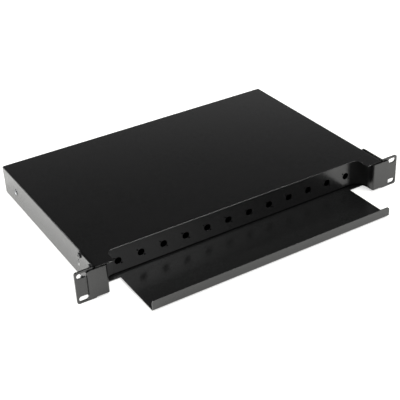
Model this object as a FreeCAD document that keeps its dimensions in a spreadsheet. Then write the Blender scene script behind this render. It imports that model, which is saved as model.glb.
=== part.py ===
import FreeCAD, Part
import math
import os
import Sketcher
from FreeCAD import Placement, Rotation, Vector

# Rack-mount fibre distribution box, one rack unit high, in millimetres.
# +X is to the right seen from the front, +Y runs into the rack and +Z is up.
# The origin is the centre of the rack screw pattern, on the back face of the ears.

# Driving dimensions: name, value, what it measures.
SIZES = [
    ("ear_width", 26.3, "ear plate, from the housing's side outwards"),
    ("ear_height", 44.0, "ear height, one rack unit less its clearance"),
    ("ear_sheet", 2.0, "ear sheet thickness"),
    ("ear_flange", 42.0, "ear side flange, front to back"),
    ("ear_corner", 3.0, "corner radius of the ear plates"),
    ("slot_inset", 8.75, "rack slot centre to the ear's outer edge"),
    ("slot_rows", 31.75, "rack slot spacing up"),
    ("slot_width", 7.0, "rack slot width"),
    ("slot_length", 12.5, "rack slot length"),
    ("ear_screw_front", 9.0, "first ear screw, behind the front edge"),
    ("ear_screw_pitch", 28.5, "ear screws, front to back"),
    ("ear_screw_rows", 34.0, "ear screws, row to row"),
    ("body_width", 430.0, "housing width"),
    ("body_height", 42.0, "housing height"),
    ("rear_space", 30.0, "drawer's rear edge to the housing's back face"),
    ("sheet", 1.2, "housing and drawer sheet thickness"),
    ("bend", 1.0, "inside radius of a folded corner"),
    ("edge_lip", 11.0, "turned-in bottom edge of the housing"),
    ("mouth_inset", 25.0, "cut-out in the front of the housing top, in from the sides"),
    ("mouth_depth", 22.0, "depth of that cut-out"),
    ("mouth_corner", 8.0, "radius of its inner corners"),
    ("slide_space", 12.7, "side space for each telescopic slide"),
    ("slide_height", 28.0, "slide height"),
    ("slide_length", 250.0, "slide length, closed"),
    ("slide_setback", 12.0, "slide, behind the front edge"),
    ("slide_wall", 1.4, "web of the slide members"),
    ("slide_flange", 1.7, "flanges of the outer and inner slide members"),
    ("middle_flange", 2.4, "flanges of the middle slide member"),
    ("slide_side_gap", 2.0, "slide flanges to the drawer's side"),
    ("slide_screw_front", 35.0, "first slide screw, behind the slide's front end"),
    ("slide_screw_rear", 13.0, "last slide screw, ahead of the slide's rear end"),
    ("ball_diameter", 2.5, "slide ball"),
    ("ball_play", 0.05, "raceway radius over ball radius"),
    ("cage_length", 120.0, "ball cage length"),
    ("cage_sheet", 0.4, "ball cage thickness"),
    ("cage_play", 0.4, "cage to the members on either side"),
    ("cage_hole_play", 0.2, "cage hole over the ball diameter"),
    ("ball_inset", 8.0, "end ball to the cage's end"),
    ("drawer_clearance", 0.4, "drawer to the housing, over and under"),
    ("drawer_setback", 18.0, "drawer floor, behind the housing's front edge"),
    ("drawer_wall", 36.0, "drawer side wall height"),
    ("drawer_rear", 12.0, "drawer rear edge height"),
    ("bend_relief", 3.0, "notch between two folds of the drawer"),
    ("shelf_inset", 25.1, "patch cord shelf, in from the drawer's sides"),
    ("shelf_reach", 80.0, "shelf, ahead of the drawer floor"),
    ("shelf_lip", 14.0, "shelf front lip height"),
    ("shelf_corner", 4.0, "lip corner radius"),
    ("panel_sheet", 1.5, "adapter panel thickness"),
    ("panel_gap", 0.5, "panel flange to the ear in front"),
    ("panel_overlap", 11.0, "recess flange, beyond the housing's side"),
    ("recess_depth", 27.5, "flange front to adapter face"),
    ("recess_bend", 18.0, "inside radius of the recess corners"),
    ("bracket_foot", 12.0, "panel bracket foot, front to back"),
    ("bracket_height", 8.0, "panel bracket height"),
    ("bracket_width", 16.0, "panel bracket, across"),
    ("port_margin", 7.8, "end port to the end of the adapter face"),
    ("port_count", 12, "number of adapter ports"),
    ("port_bore", 9.6, "adapter hole"),
    ("port_drop", 1.0, "adapter hole centre, below the rack centre line"),
    ("port_screw_bore", 2.4, "adapter screw hole"),
    ("port_screw_offset", 4.75, "adapter screw hole, each way from the port"),
    ("screw_bore", 4.1, "clearance hole for the cabinet screws"),
    ("screw_head", 7.4, "pan head diameter"),
    ("screw_head_height", 2.2, "pan head height"),
    ("fit_play", 0.05, "radial clearance of a shank in its hole"),
    ("collar", 1.6, "depth of a drawn and tapped collar"),
    ("collar_wall", 0.7, "wall of that collar"),
    ("rivet_diameter", 3.2, "panel rivet"),
    ("rivet_head", 6.4, "panel rivet head"),
    ("rivet_head_height", 1.0, "panel rivet head height"),
    ("rivet_pitch", 76.0, "panel rivet spacing"),
    ("gland_offset", 165.0, "cable gland, from the centre"),
    ("plug_offset", 125.0, "blanking plug, from the centre"),
    ("gland_bore", 20.4, "cable entry hole"),
    ("gland_thread", 20.0, "gland thread"),
    ("gland_hex", 24.0, "gland hexagon, across flats"),
    ("gland_inside", 8.0, "gland thread inside the back wall"),
    ("gland_flange", 4.0, "gland hexagon thickness"),
    ("gland_neck", 8.0, "gland thread outside its hexagon"),
    ("gland_cap", 11.0, "gland cap nut length"),
    ("gland_wall", 2.6, "gland tube wall"),
    ("gland_neck_diameter", 18.5, "gland thread under its cap nut"),
    ("cap_gap", 0.3, "gland hexagon to its cap nut"),
    ("cap_mouth_play", 1.0, "cap nut mouth round the cable hole"),
    ("cable_bore", 9.0, "cable hole in the gland seal"),
    ("washer_sheet", 1.5, "gland washer thickness"),
    ("locknut_height", 4.0, "gland locknut thickness"),
    ("plug_depth", 5.2, "blanking plug, behind its head"),
    ("plug_barb", 0.5, "blanking plug's barb, outside its shank"),
    ("plug_head_height", 2.1, "blanking plug head"),
    ("stud_offset", 80.0, "earth stud, from the centre"),
    ("stud_diameter", 5.0, "earth stud"),
    ("stud_length", 13.0, "earth stud, outside the back wall"),
    ("stud_head", 9.0, "earth stud's flange, inside the back wall"),
    ("stud_head_height", 1.5, "thickness of that flange"),
    ("cassette_width", 184.0, "splice cassette, across"),
    ("cassette_depth", 112.0, "splice cassette, front to back"),
    ("cassette_height", 12.0, "splice cassette wall height"),
    ("cassette_wall", 1.6, "splice cassette wall and floor"),
    ("cassette_corner", 30.0, "splice cassette corner radius"),
    ("cassette_rear_gap", 14.0, "cassette to the drawer's rear edge"),
    ("cassette_lift", 5.0, "cassette above the drawer floor"),
    ("cassette_gate", 16.0, "fibre opening in the cassette wall"),
    ("hub_offset", 56.0, "cassette hub, from the centre"),
    ("hub_radius", 24.0, "cassette hub, outside"),
    ("lid_sheet", 1.2, "cassette lid thickness"),
    ("boss_wall", 2.4, "wall of the cassette's stud bosses"),
    ("stud_play", 0.2, "cassette stud bores over the screw bore"),
    ("stand_off", 7.4, "cassette stand-off hexagon, across flats"),
    ("stand_off_end", 1.0, "cassette stud beyond its thumb nut"),
    ("holder_width", 26.0, "splice holder, across"),
    ("holder_pitch", 5.0, "splice slots"),
    ("holder_rib", 1.6, "splice rib thickness"),
    ("holder_height", 6.0, "splice rib height"),
    ("holder_slope", 2.6, "slope at each end of a splice rib"),
    ("holder_slots", 12, "number of splice slots"),
    ("thumb_nut", 11.0, "cassette thumb nut diameter"),
    ("thumb_nut_height", 5.0, "cassette thumb nut height"),
    ("clip_ring", 20.0, "fibre clip ring, outside"),
    ("clip_wall", 1.6, "fibre clip wall"),
    ("clip_width", 9.0, "fibre clip width"),
    ("clip_mouth", 5.0, "fibre clip opening"),
    ("clip_column", 146.0, "fibre clips, from the centre"),
    ("clip_setback", 76.0, "front fibre clips, behind the adapter panel"),
    ("clip_pitch", 90.0, "fibre clips, front to back"),
    ("anchor_offset", 165.0, "cable anchor, from the centre"),
    ("anchor_width", 26.0, "cable anchor, across"),
    ("anchor_height", 14.0, "cable anchor, height"),
    ("anchor_foot", 14.0, "cable anchor foot, front to back"),
    ("anchor_rear_gap", 6.0, "cable anchor to the drawer's rear edge"),
]


class Size:
    """A length that keeps the spreadsheet expression it was worked out from."""

    def __init__(self, number, text):
        self.number = float(number)
        self.text = text

    def __add__(self, other):
        return Size(self.number + number(other), f"({self.text} + {text(other)})")

    __radd__ = __add__

    def __sub__(self, other):
        return Size(self.number - number(other), f"({self.text} - {text(other)})")

    def __rsub__(self, other):
        return Size(number(other) - self.number, f"({text(other)} - {self.text})")

    def __mul__(self, other):
        return Size(self.number * number(other), f"({self.text} * {text(other)})")

    __rmul__ = __mul__

    def __truediv__(self, other):
        return Size(self.number / number(other), f"({self.text} / {text(other)})")

    def __neg__(self):
        return Size(-self.number, f"(0 - {self.text})")


def number(value):
    return value.number if isinstance(value, Size) else float(value)


def text(value):
    return value.text if isinstance(value, Size) else f"{float(value):.6f}"


class Dimensions:
    """The spreadsheet's values by name, each as a Size."""

    def __init__(self, document):
        table = document.addObject("Spreadsheet::Sheet", "Sizes")
        for row, (alias, value, meaning) in enumerate(SIZES, start=1):
            table.set(f"A{row}", meaning)
            table.set(f"B{row}", str(value))
            table.setAlias(f"B{row}", alias)
            setattr(self, alias, Size(value, f"Sizes.{alias}"))


doc = FreeCAD.newDocument("fibre_distribution_box")
dim = Dimensions(doc)
doc.recompute()

# Places that several pieces share.
FRONT = -dim.ear_sheet
SLIDE_FRONT = FRONT + dim.slide_setback
DRAWER_REAR = SLIDE_FRONT + dim.slide_length
REAR = DRAWER_REAR + dim.rear_space
TOP = dim.body_height / 2
BOTTOM = -TOP
SIDE = dim.body_width / 2
EAR_FACE = SIDE + dim.ear_sheet
INNER_SIDE = SIDE - dim.sheet
DRAWER_SIDE = INNER_SIDE - dim.slide_space
FLOOR_UNDER = BOTTOM + dim.drawer_clearance
FLOOR = FLOOR_UNDER + dim.sheet
DRAWER_FRONT = FRONT + dim.drawer_setback
SHELF_FRONT = DRAWER_FRONT - dim.shelf_reach
PANEL_TOP = TOP - dim.sheet - dim.drawer_clearance
FLANGE_FRONT = FRONT - dim.panel_gap - dim.panel_sheet
PANEL_FACE = FLANGE_FRONT + dim.recess_depth
PANEL_BACK = PANEL_FACE + dim.panel_sheet
BALL = dim.ball_diameter / 2
RACEWAY = BALL + dim.ball_play
OUTER_BEND = dim.bend + dim.sheet
# A countersink leaves a tenth of the sheet as its rim.
COUNTERSINK = dim.sheet * 0.9
EAR_SCREW_YS = [FRONT + dim.ear_screw_front, FRONT + dim.ear_screw_front + dim.ear_screw_pitch]
EAR_SCREW_ZS = [-dim.ear_screw_rows / 2, dim.ear_screw_rows / 2]
SLIDE_SCREW_YS = [SLIDE_FRONT + dim.slide_screw_front, DRAWER_REAR - dim.slide_screw_rear]
EAR_TIP = SIDE + dim.ear_width


def new_body(label):
    body = doc.addObject("PartDesign::Body", label)
    body.Label = label
    return body


def sketch_on(body, role, offset=0.0):
    """A sketch on one of the body's origin planes, moved along its normal to offset.

    The XZ plane's normal is -Y, so the offset there is measured towards -Y.
    """
    sketch = body.newObject("Sketcher::SketchObject", f"{body.Label}_sketch")
    plane = next(item for item in body.Origin.OriginFeatures if item.Role == role)
    sketch.AttachmentSupport = (plane, [""])
    sketch.MapMode = "FlatFace"
    sketch.setExpression("AttachmentOffset.Base.z", text(offset))
    return sketch


def hold(sketch, kind, *where, value):
    index = sketch.addConstraint(Sketcher.Constraint(kind, *where, number(value)))
    sketch.setExpression(f"Constraints[{index}]", text(value))


def place_point(sketch, geometry, point, x, y):
    """Fixes a point of the sketch at x, y from the sketch's origin."""
    hold(sketch, "DistanceX", -1, 1, geometry, point, value=x)
    hold(sketch, "DistanceY", -1, 1, geometry, point, value=y)


def outline(sketch, points):
    """A closed outline of straight lines through the points."""
    corners = [Vector(number(x), number(y), 0) for x, y in points]
    count = len(corners)
    first = sketch.GeometryCount
    for index in range(count):
        sketch.addGeometry(Part.LineSegment(corners[index], corners[(index + 1) % count]), False)
    for index in range(count):
        following = first + (index + 1) % count
        sketch.addConstraint(Sketcher.Constraint("Coincident", first + index, 2, following, 1))
    for index, (x, y) in enumerate(points):
        place_point(sketch, first + index, 1, x, y)


def box_outline(sketch, low_x, low_y, high_x, high_y):
    outline(sketch, [(low_x, low_y), (high_x, low_y), (high_x, high_y), (low_x, high_y)])


def circle(sketch, x, y, diameter):
    centre = Vector(number(x), number(y), 0)
    index = sketch.addGeometry(Part.Circle(centre, Vector(0, 0, 1), number(diameter) / 2), False)
    place_point(sketch, index, 3, x, y)
    hold(sketch, "Diameter", index, value=diameter)


def slot(sketch, x, y, length, width):
    """A round-ended slot along the sketch's x axis, centred on x, y."""
    radius = width / 2
    reach = length / 2 - radius
    middle_x, middle_y, half, r = number(x), number(y), number(reach), number(radius)
    left = Vector(middle_x - half, middle_y, 0)
    right = Vector(middle_x + half, middle_y, 0)
    up = Vector(0, r, 0)
    quarter = math.pi / 2
    axis = Vector(0, 0, 1)
    right_arc = sketch.addGeometry(
        Part.ArcOfCircle(Part.Circle(right, axis, r), -quarter, quarter), False)
    top = sketch.addGeometry(Part.LineSegment(right + up, left + up), False)
    left_arc = sketch.addGeometry(
        Part.ArcOfCircle(Part.Circle(left, axis, r), quarter, 3 * quarter), False)
    bottom = sketch.addGeometry(Part.LineSegment(left - up, right - up), False)
    for one, two in ((right_arc, top), (top, left_arc), (left_arc, bottom), (bottom, right_arc)):
        sketch.addConstraint(Sketcher.Constraint("Tangent", one, 2, two, 1))
    place_point(sketch, right_arc, 3, x + reach, y)
    place_point(sketch, left_arc, 3, x - reach, y)
    hold(sketch, "Radius", right_arc, value=radius)


def pad(body, sketch, length, reverse=False, both_ways=False):
    feature = body.newObject("PartDesign::Pad", f"{body.Label}_pad")
    feature.Profile = sketch
    feature.Reversed = reverse
    feature.SideType = "Symmetric" if both_ways else "One side"
    feature.setExpression("Length", text(length))
    doc.recompute()
    return feature


def pocket(body, sketch, length):
    """Cuts length in all, half on each side of the sketch, and checks that it removed metal."""
    before = body.Shape.Volume
    feature = body.newObject("PartDesign::Pocket", f"{body.Label}_pocket")
    feature.Profile = sketch
    feature.SideType = "Symmetric"
    feature.setExpression("Length", text(length))
    doc.recompute()
    if not body.Shape.Volume < before:
        raise RuntimeError(f"{body.Label}: a pocket removed nothing")
    return feature


def revolve(body, sketch):
    """Turns the sketch round its own vertical axis."""
    feature = body.newObject("PartDesign::Revolution", f"{body.Label}_revolution")
    feature.Profile = sketch
    feature.ReferenceAxis = (sketch, ["V_Axis"])
    feature.Angle = 360
    doc.recompute()
    return feature


def edges_at(shape, axis, spots):
    """Names of the straight edges along axis through the spots, given as the other coordinates."""
    others = [index for index in range(3) if index != "xyz".index(axis)]
    wanted = [(number(a), number(b)) for a, b in spots]
    names = []
    for index, edge in enumerate(shape.Edges, start=1):
        ends = [vertex.Point for vertex in edge.Vertexes]
        if len(ends) != 2 or edge.Curve.TypeId != "Part::GeomLine":
            continue
        for a, b in wanted:
            if all(abs(end[others[0]] - a) < 0.01 and abs(end[others[1]] - b) < 0.01 for end in ends):
                names.append(f"Edge{index}")
    if not names:
        raise RuntimeError(f"no edge along {axis} at {wanted}")
    return names


def rims_at(shape, centres):
    """Names of the circular edges centred on the points."""
    wanted = [Vector(number(x), number(y), number(z)) for x, y, z in centres]
    names = []
    for index, edge in enumerate(shape.Edges, start=1):
        if edge.Curve.TypeId != "Part::GeomCircle":
            continue
        if any(edge.Curve.Center.distanceToPoint(centre) < 0.01 for centre in wanted):
            names.append(f"Edge{index}")
    if not names:
        raise RuntimeError(f"no circular edge at {wanted}")
    return names


def dress(body, kind, names, setting, amount):
    feature = body.newObject(f"PartDesign::{kind}", f"{body.Label}_{kind.lower()}")
    feature.Base = (body.Group[-2], names)
    feature.setExpression(setting, text(amount))
    doc.recompute()


def round_off(body, axis, spots, radius):
    """Fillets the body's straight edges along axis at the spots."""
    dress(body, "Fillet", edges_at(body.Shape, axis, spots), "Radius", radius)


def sink_rims(body, centres, depth):
    """Countersinks the round rims centred on the points."""
    dress(body, "Chamfer", rims_at(body.Shape, centres), "Size", depth)


def mirrored_copy(label, source):
    """The same piece on the other side of the YZ plane."""
    copy = doc.addObject("Part::Mirroring", label)
    copy.Label = label
    copy.Source = source
    copy.Normal = Vector(1, 0, 0)
    return copy


def group_of(label, source, places):
    """One node of equal pieces: source is linked at each place (x, y, z, rotation)."""
    links = []
    for index, (x, y, z, rotation) in enumerate(places, start=1):
        link = doc.addObject("App::Link", f"{label}_{index}")
        link.LinkedObject = source
        link.Placement = Placement(Vector(number(x), number(y), number(z)), rotation)
        for letter, value in (("x", x), ("y", y), ("z", z)):
            link.setExpression(f"Placement.Base.{letter}", text(value))
        links.append(link)
    group = doc.addObject("Part::Compound", label)
    group.Label = label
    group.Links = links
    return group


UPRIGHT = Rotation()
FACING_LEFT = Rotation(Vector(0, 1, 0), -90)
FACING_RIGHT = Rotation(Vector(0, 1, 0), 90)
FACING_BACK = Rotation(Vector(1, 0, 0), -90)


def hexagon(sketch, across_flats):
    """A hexagon round the sketch's origin with two corners on its x axis."""
    corner = across_flats / math.sqrt(3)
    flat = across_flats / 2
    outline(sketch, [(corner, 0), (corner / 2, flat), (-corner / 2, flat),
                     (-corner, 0), (-corner / 2, -flat), (corner / 2, -flat)])


def housing_shell():
    """Folded hood: top, sides, turned-in bottom edges and back wall in one sheet."""
    body = new_body("housing_shell")
    profile = sketch_on(body, "XZ_Plane", -FRONT)
    lip_end = SIDE - dim.edge_lip
    right_half = [(SIDE, TOP), (SIDE, BOTTOM), (lip_end, BOTTOM), (lip_end, BOTTOM + dim.sheet),
                  (INNER_SIDE, BOTTOM + dim.sheet), (INNER_SIDE, TOP - dim.sheet)]
    outline(profile, right_half + [(-x, z) for x, z in reversed(right_half)])
    pad(body, profile, REAR - FRONT, reverse=True)
    round_off(body, "y", [(SIDE, TOP), (-SIDE, TOP), (SIDE, BOTTOM), (-SIDE, BOTTOM)], OUTER_BEND)
    inner_corners = [(x, z) for x in (INNER_SIDE, -INNER_SIDE)
                     for z in (TOP - dim.sheet, BOTTOM + dim.sheet)]
    round_off(body, "y", inner_corners, dim.bend)

    back_wall = sketch_on(body, "XZ_Plane", -REAR)
    box_outline(back_wall, -INNER_SIDE, BOTTOM, INNER_SIDE, TOP - dim.sheet)
    pad(body, back_wall, dim.sheet)
    back_lip = sketch_on(body, "XY_Plane", BOTTOM)
    box_outline(back_lip, -INNER_SIDE, REAR - dim.edge_lip, INNER_SIDE, REAR)
    pad(body, back_lip, dim.sheet)
    round_off(body, "x", [(REAR, BOTTOM)], OUTER_BEND)

    collars = sketch_on(body, "YZ_Plane", INNER_SIDE - dim.collar)
    for y in EAR_SCREW_YS:
        for z in EAR_SCREW_ZS:
            circle(collars, y, z, dim.screw_bore + dim.collar_wall * 2)
    right_collars = pad(body, collars, dim.collar)
    left_collars = body.newObject("PartDesign::Mirrored", "left_collars")
    left_collars.Originals = [right_collars]
    mirror_plane = next(item for item in body.Origin.OriginFeatures if item.Role == "YZ_Plane")
    left_collars.MirrorPlane = (mirror_plane, [""])
    body.Tip = left_collars
    doc.recompute()

    side_holes = sketch_on(body, "YZ_Plane")
    for y in EAR_SCREW_YS:
        for z in EAR_SCREW_ZS:
            circle(side_holes, y, z, dim.screw_bore)
    for y in SLIDE_SCREW_YS:
        circle(side_holes, y, 0, dim.screw_bore)
    pocket(body, side_holes, dim.body_width * 2)
    sunk = [(x, y, 0) for x in (SIDE, -SIDE) for y in SLIDE_SCREW_YS]
    sink_rims(body, sunk, COUNTERSINK)

    mouth = sketch_on(body, "XY_Plane", TOP - dim.sheet / 2)
    half_mouth = SIDE - dim.mouth_inset
    mouth_back = FRONT + dim.mouth_depth
    box_outline(mouth, -half_mouth, FRONT - dim.sheet, half_mouth, mouth_back)
    pocket(body, mouth, dim.sheet * 2)
    round_off(body, "z", [(half_mouth, mouth_back), (-half_mouth, mouth_back)], dim.mouth_corner)

    entries = sketch_on(body, "XZ_Plane", -(REAR - dim.sheet / 2))
    for offset in (dim.gland_offset, dim.plug_offset):
        circle(entries, offset, 0, dim.gland_bore)
        circle(entries, -offset, 0, dim.gland_bore)
    circle(entries, dim.stud_offset, 0, dim.stud_diameter + dim.fit_play * 2)
    pocket(body, entries, dim.sheet * 2)
    return body


def ear_left():
    """Folded rack ear: slotted front plate and a flange along the housing's side."""
    body = new_body("ear_left")
    profile = sketch_on(body, "XY_Plane")
    flange_end = FRONT + dim.ear_flange
    tip = -EAR_TIP
    outline(profile, [(tip, FRONT), (-SIDE, FRONT), (-SIDE, flange_end), (-EAR_FACE, flange_end),
                      (-EAR_FACE, 0), (tip, 0)])
    pad(body, profile, dim.ear_height, both_ways=True)
    round_off(body, "z", [(-SIDE, FRONT)], dim.bend + dim.ear_sheet)
    round_off(body, "z", [(-EAR_FACE, 0)], dim.bend)
    half_height = dim.ear_height / 2
    round_off(body, "y", [(tip, half_height), (tip, -half_height)], dim.ear_corner)
    round_off(body, "x", [(flange_end, half_height), (flange_end, -half_height)], dim.ear_corner)
    slots = sketch_on(body, "XZ_Plane", dim.ear_sheet / 2)
    for z in (dim.slot_rows / 2, -dim.slot_rows / 2):
        slot(slots, tip + dim.slot_inset, z, dim.slot_length, dim.slot_width)
    pocket(body, slots, dim.ear_sheet * 2)
    holes = sketch_on(body, "YZ_Plane", -(SIDE + dim.ear_sheet / 2))
    for y in EAR_SCREW_YS:
        for z in EAR_SCREW_ZS:
            circle(holes, y, z, dim.screw_bore)
    pocket(body, holes, dim.ear_sheet * 2)
    return body


# Where the side of a pan head or a rivet head ends, and its flat top, as shares of the head.
HEAD_SIDE = 0.55
HEAD_TOP = 0.72


def pan_screw(label, length):
    """Pan-head screw along Z: the head sits on z = 0 and the shank points down."""
    body = new_body(label)
    profile = sketch_on(body, "XZ_Plane")
    shank = dim.screw_bore / 2 - dim.fit_play
    head = dim.screw_head / 2
    top = dim.screw_head_height
    outline(profile, [(0, -length), (shank, -length), (shank, 0), (head, 0),
                      (head, top * HEAD_SIDE), (head * HEAD_TOP, top), (0, top)])
    revolve(body, profile)
    return body


def ear_screws():
    screw = pan_screw("ear_screw", dim.ear_sheet + dim.sheet + dim.collar)
    places = []
    for x, facing in ((-EAR_FACE, FACING_LEFT), (EAR_FACE, FACING_RIGHT)):
        places += [(x, y, z, facing) for y in EAR_SCREW_YS for z in EAR_SCREW_ZS]
    return group_of("ear_screws", screw, places)


def slide_screws():
    """Countersunk screws through the housing's sides, flush with the inside of the slides' webs."""
    screw = new_body("slide_screw")
    profile = sketch_on(screw, "XZ_Plane")
    shank = dim.screw_bore / 2 - dim.fit_play
    head = shank + COUNTERSINK
    outline(profile, [(0, -(dim.sheet + dim.slide_wall)), (shank, -(dim.sheet + dim.slide_wall)),
                      (shank, -COUNTERSINK), (head, 0), (0, 0)])
    revolve(screw, profile)
    places = [(x, y, 0, facing) for x, facing in ((-SIDE, FACING_LEFT), (SIDE, FACING_RIGHT))
              for y in SLIDE_SCREW_YS]
    return group_of("slide_screws", screw, places)


# Slide cross-section: u is measured from the housing's inner side towards the drawer and
# w up and down from the slide's middle. Both ball rows lie between nested channels.
OUTER_FACE = dim.slide_height / 2 - dim.slide_flange
CAGE_SPACE = dim.cage_play * 2 + dim.cage_sheet
FLANGE_GAP = CAGE_SPACE + dim.cage_play
MIDDLE_FACE = OUTER_FACE - FLANGE_GAP
MIDDLE_INSIDE = MIDDLE_FACE - dim.middle_flange
INNER_TOP = MIDDLE_INSIDE - FLANGE_GAP
OUTER_BALL_W = (OUTER_FACE + MIDDLE_FACE) / 2
INNER_BALL_W = (MIDDLE_INSIDE + INNER_TOP) / 2
MIDDLE_WEB = dim.slide_wall + CAGE_SPACE
INNER_CAGE_WEB = MIDDLE_WEB + dim.sheet + dim.cage_play
INNER_FLANGE_START = INNER_CAGE_WEB + dim.cage_sheet + dim.cage_play
FLANGE_END = dim.slide_space - dim.slide_side_gap
OUTER_BALL_U = dim.slide_space / 2
INNER_BALL_U = INNER_FLANGE_START + dim.ball_diameter


def channel(body, web_near, web_far, reach, outside, inside, front, length):
    """Channel section from front over length: its web between two u values, its flanges to reach."""
    profile = sketch_on(body, "XZ_Plane", -front)
    start = -INNER_SIDE
    top = [(start + web_near, outside), (start + reach, outside), (start + reach, inside),
           (start + web_far, inside)]
    outline(profile, top + [(x, -z) for x, z in reversed(top)])
    pad(body, profile, length, reverse=True)


def raceways(body, u, w):
    """Round grooves for the ball rows at u, +w and -w, along the whole member."""
    grooves = sketch_on(body, "XZ_Plane", -(SLIDE_FRONT + dim.slide_length / 2))
    for side in (w, -w):
        circle(grooves, -INNER_SIDE + u, side, RACEWAY * 2)
    pocket(body, grooves, dim.slide_length * 1.1)


def slide_outer_left():
    body = new_body("slide_outer_left")
    half = dim.slide_height / 2
    channel(body, 0, dim.slide_wall, FLANGE_END, half, OUTER_FACE, SLIDE_FRONT, dim.slide_length)
    round_off(body, "y", [(-INNER_SIDE, half), (-INNER_SIDE, -half)], dim.bend)
    raceways(body, OUTER_BALL_U, OUTER_BALL_W)
    holes = sketch_on(body, "YZ_Plane", -INNER_SIDE)
    for y in SLIDE_SCREW_YS:
        circle(holes, y, 0, dim.screw_bore)
    pocket(body, holes, dim.slide_wall * 3)
    return body


def slide_middle_left():
    body = new_body("slide_middle_left")
    channel(body, MIDDLE_WEB, MIDDLE_WEB + dim.sheet, FLANGE_END, MIDDLE_FACE, MIDDLE_INSIDE,
            SLIDE_FRONT, dim.slide_length)
    raceways(body, OUTER_BALL_U, OUTER_BALL_W)
    raceways(body, INNER_BALL_U, INNER_BALL_W)
    return body


def slide_inner_left():
    """Inner member: its web lies on the drawer's side and its flanges point at the housing."""
    body = new_body("slide_inner_left")
    web = dim.slide_space - dim.slide_wall
    channel(body, dim.slide_space, web, INNER_FLANGE_START, INNER_TOP, INNER_TOP - dim.slide_flange,
            SLIDE_FRONT, dim.slide_length)
    raceways(body, INNER_BALL_U, INNER_BALL_W)
    holes = sketch_on(body, "YZ_Plane", -DRAWER_SIDE)
    for y in SLIDE_SCREW_YS:
        circle(holes, y, 0, dim.screw_bore)
    pocket(body, holes, dim.slide_wall * 3)
    return body


CAGE_FRONT = SLIDE_FRONT + (dim.slide_length - dim.cage_length) / 2
BALL_YS = [CAGE_FRONT + dim.ball_inset, CAGE_FRONT + dim.cage_length - dim.ball_inset]


def ball_cage(label, web, u, w):
    """Thin channel that carries one ball row above and one below."""
    body = new_body(label)
    half = dim.cage_sheet / 2
    channel(body, web, web + dim.cage_sheet, u + dim.ball_diameter, w + half, w - half,
            CAGE_FRONT, dim.cage_length)
    holes = sketch_on(body, "XY_Plane")
    for y in BALL_YS:
        circle(holes, -INNER_SIDE + u, y, dim.ball_diameter + dim.cage_hole_play)
    pocket(body, holes, dim.slide_height)
    return body


def balls(label, u, w):
    ball = doc.addObject("Part::Sphere", f"{label}_ball")
    ball.setExpression("Radius", text(BALL))
    places = [(-INNER_SIDE + u, y, side, UPRIGHT) for y in BALL_YS for side in (w, -w)]
    return group_of(label, ball, places)


def drawer_tray():
    """Folded drawer: floor with the patch cord shelf and its lip, side walls and a rear edge."""
    body = new_body("drawer_tray")
    half_shelf = DRAWER_SIDE - dim.shelf_inset
    relieved_side = DRAWER_SIDE - dim.bend_relief
    relieved_rear = DRAWER_REAR - dim.bend_relief
    right_half = [(half_shelf, SHELF_FRONT), (half_shelf, DRAWER_FRONT), (relieved_side, DRAWER_FRONT),
                  (relieved_side, WALL_FRONT), (DRAWER_SIDE, WALL_FRONT), (DRAWER_SIDE, relieved_rear),
                  (relieved_side, relieved_rear), (relieved_side, DRAWER_REAR)]
    floor = sketch_on(body, "XY_Plane", FLOOR_UNDER)
    outline(floor, right_half + [(-x, y) for x, y in reversed(right_half)])
    pad(body, floor, dim.sheet)

    walls = sketch_on(body, "XZ_Plane", -WALL_FRONT)
    wall_top = FLOOR_UNDER + dim.drawer_wall
    inside = DRAWER_SIDE - dim.sheet
    wall = [(DRAWER_SIDE, FLOOR_UNDER), (DRAWER_SIDE, wall_top), (inside, wall_top), (inside, FLOOR)]
    outline(walls, wall + [(-x, z) for x, z in reversed(wall)])
    pad(body, walls, relieved_rear - WALL_FRONT, reverse=True)
    rear_edge = sketch_on(body, "XZ_Plane", -DRAWER_REAR)
    box_outline(rear_edge, -relieved_side, FLOOR_UNDER, relieved_side, FLOOR_UNDER + dim.drawer_rear)
    pad(body, rear_edge, dim.sheet)
    lip = sketch_on(body, "XZ_Plane", -SHELF_FRONT)
    lip_top = FLOOR_UNDER + dim.shelf_lip
    box_outline(lip, -half_shelf, FLOOR_UNDER, half_shelf, lip_top)
    pad(body, lip, dim.sheet, reverse=True)

    round_off(body, "y", [(half_shelf, lip_top), (-half_shelf, lip_top)], dim.shelf_corner)
    round_off(body, "y", [(DRAWER_SIDE, FLOOR_UNDER), (-DRAWER_SIDE, FLOOR_UNDER)], OUTER_BEND)
    round_off(body, "y", [(inside, FLOOR), (-inside, FLOOR)], dim.bend)
    round_off(body, "x", [(SHELF_FRONT, FLOOR_UNDER), (DRAWER_REAR, FLOOR_UNDER)], OUTER_BEND)
    round_off(body, "x", [(SHELF_FRONT + dim.sheet, FLOOR), (DRAWER_REAR - dim.sheet, FLOOR)], dim.bend)

    side_holes = sketch_on(body, "YZ_Plane")
    for y in SLIDE_SCREW_YS:
        circle(side_holes, y, 0, dim.screw_bore)
    pocket(body, side_holes, dim.body_width * 2)
    floor_holes = sketch_on(body, "XY_Plane", FLOOR)
    for x in RIVET_XS:
        circle(floor_holes, x, RIVET_Y, dim.rivet_diameter + dim.fit_play * 2)
    for x, y in STUD_PLACES + ANCHOR_SCREWS:
        circle(floor_holes, x, y, dim.screw_bore)
    pocket(body, floor_holes, dim.sheet * 3)
    return body


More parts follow.
